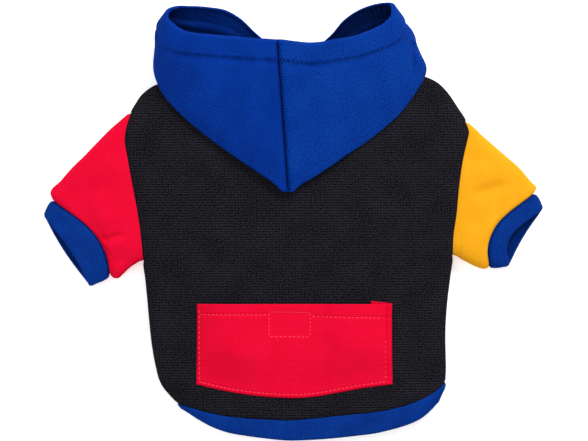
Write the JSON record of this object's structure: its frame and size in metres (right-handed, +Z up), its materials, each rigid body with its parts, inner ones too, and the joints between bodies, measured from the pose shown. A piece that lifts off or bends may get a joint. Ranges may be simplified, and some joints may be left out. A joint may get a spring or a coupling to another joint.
{
  "type": "dog hoodie",
  "caption": "Small dog hoodie laid flat, back up: black fleece body, blue hood folded down, red and yellow short sleeves, blue rib cuffs and hem band, red patch pocket.",
  "frame": {"origin": "centre of the garment's bounding box, on the surface that it lies on", "axes": "+Z up from that surface, +Y towards the head end, -Y towards the hem, +X to the right of someone who looks down on its back"},
  "size_m": [0.3698, 0.3224, 0.0473],
  "materials": {
    "fleece_black": "matt brushed fleece",
    "jersey_red": "matt knit",
    "jersey_yellow": "matt knit",
    "jersey_blue": "matt knit",
    "rib_blue": "matt rib knit",
    "hook_and_loop": "matt hook-and-loop tape"
  },
  "bodies": {
    "root": {"back_panel": "fleece_black", "chest_panel": "fleece_black", "sleeve_left": "jersey_red", "sleeve_right": "jersey_yellow", "cuff_left": "rib_blue", "cuff_right": "rib_blue", "hem_band": "rib_blue", "hood_left": "jersey_blue", "hood_right": "jersey_blue", "pocket": "jersey_red", "pocket_tab": "jersey_red", "pocket_fastener": "hook_and_loop"}
  },
  "joints": []
}
